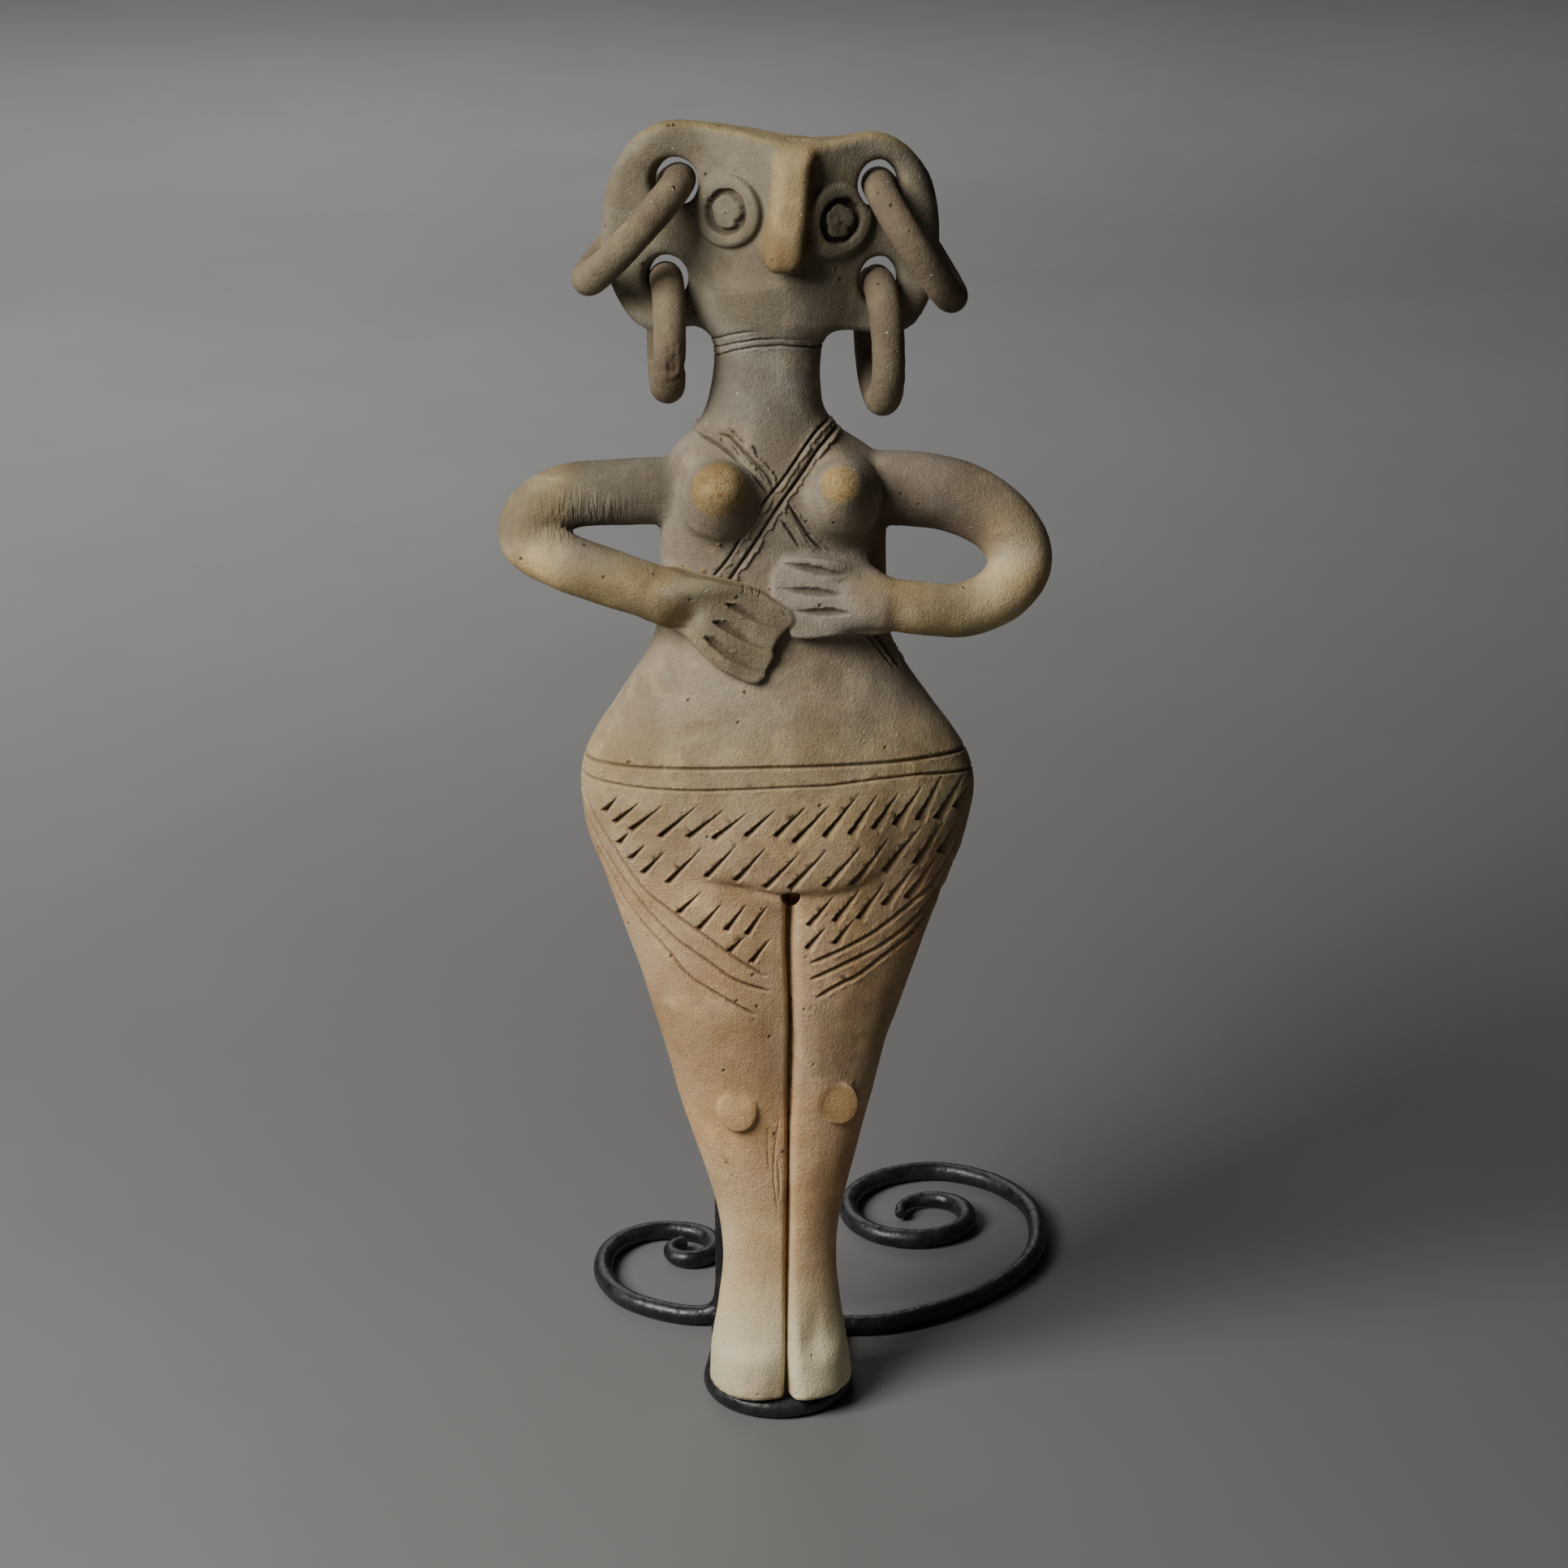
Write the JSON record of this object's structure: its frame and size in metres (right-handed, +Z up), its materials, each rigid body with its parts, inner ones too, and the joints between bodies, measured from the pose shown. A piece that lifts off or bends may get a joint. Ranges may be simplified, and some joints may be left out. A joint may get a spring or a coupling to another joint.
{
  "type": "astarte figurine",
  "caption": "Hand-built clay goddess figurine with a beaked face, pierced ears with clay rings and hands on the belly, standing in a wrought-iron scroll stand.",
  "frame": {"origin": "on the floor, under the middle of the whole object's box", "axes": "+Z up; the figure faces -Y; +X is the viewer's right when looking at its face"},
  "size_m": [0.1676, 0.1678, 0.3808],
  "materials": {
    "clay": "unglazed fired clay, grey-brown above and warm tan below",
    "clay_ring": "unglazed fired clay, grey-brown",
    "iron": "blackened wrought iron, satin"
  },
  "bodies": {
    "root": {"figure": "clay", "ear_ring_upper_left": "clay_ring", "ear_ring_lower_left": "clay_ring", "ear_ring_upper_right": "clay_ring", "ear_ring_lower_right": "clay_ring", "stand_left_scroll": "iron", "stand_right_scroll": "iron"}
  },
  "joints": []
}
